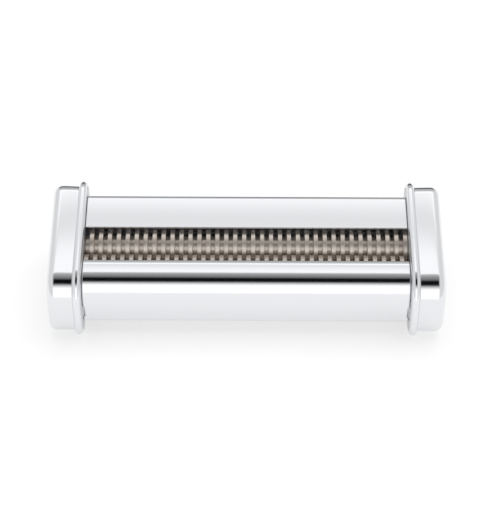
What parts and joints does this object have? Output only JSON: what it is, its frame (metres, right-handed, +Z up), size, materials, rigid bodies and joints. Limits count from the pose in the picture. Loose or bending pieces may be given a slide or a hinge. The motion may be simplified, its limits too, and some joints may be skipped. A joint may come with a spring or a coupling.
{
  "type": "pasta machine noodle cutter attachment",
  "caption": "Slide-on noodle cutter for a hand pasta machine: ribbed cutting rollers behind a feed slot, bright guards and rounded end caps with rolled rims.",
  "frame": {"origin": "middle of the cutter on the plane that its rolled rims stand on", "axes": "+X along the rollers towards the crank socket, -Y towards the front guard, +Z up through the feed slot"},
  "size_m": [0.175, 0.0654, 0.0435],
  "materials": {
    "plated_cap": "bright plated, smooth",
    "plated_guard": "bright plated sheet, smooth",
    "plate_steel": "satin sheet steel",
    "roller_nickel": "turned and nickel plated, warm tone",
    "gear_steel": "milled, lightly oiled",
    "pin_steel": "ground, dark",
    "bush_bronze": "sintered, oiled",
    "comb_steel": "satin sheet steel",
    "rod_steel": "bright drawn",
    "fastener_steel": "zinc plated",
    "guide_black": "moulded, satin"
  },
  "bodies": {
    "housing": {"left_end_cap": "plated_cap", "right_end_cap": "plated_cap", "rear_guard": "plated_guard", "front_guard": "plated_guard", "left_side_plate": "plate_steel", "right_side_plate": "plate_steel", "left_mounting_hook": "plate_steel", "right_mounting_hook": "plate_steel", "left_rear_bush": "bush_bronze", "left_front_bush": "bush_bronze", "right_rear_bush": "bush_bronze", "right_front_bush": "bush_bronze", "rear_stripper_comb": "comb_steel", "front_stripper_comb": "comb_steel", "upper_rear_tie_rod": "rod_steel", "upper_front_tie_rod": "rod_steel", "lower_rear_tie_rod": "rod_steel", "lower_front_tie_rod": "rod_steel", "left_tie_nuts": "fastener_steel", "right_tie_nuts": "fastener_steel", "left_cap_screws": "fastener_steel", "right_cap_screws": "fastener_steel", "left_hook_rivets": "fastener_steel", "right_hook_rivets": "fastener_steel", "crank_guide_ring": "guide_black"},
    "rear_roller": {"rear_cutter_roller": "roller_nickel", "rear_gear": "gear_steel", "rear_gear_pin": "pin_steel", "drive_socket": "gear_steel", "socket_pin": "pin_steel"},
    "front_roller": {"front_cutter_roller": "roller_nickel", "front_gear": "gear_steel", "front_gear_pin": "pin_steel", "front_retaining_ring": "pin_steel"}
  },
  "joints": [
    {"name": "rear_roller_spin", "type": "hinge", "parent": "housing", "child": "rear_roller", "pos_m": [0, 0.00296, 0.0249], "axis": [1, 0, 0], "continuous": true},
    {"name": "front_roller_spin", "type": "hinge", "parent": "housing", "child": "front_roller", "pos_m": [0, -0.01076, 0.0221], "axis": [1, 0, 0], "continuous": true}
  ],
  "couplings": [
    {"joint": "front_roller_spin", "follows": "rear_roller_spin", "ratio": -1}
  ]
}
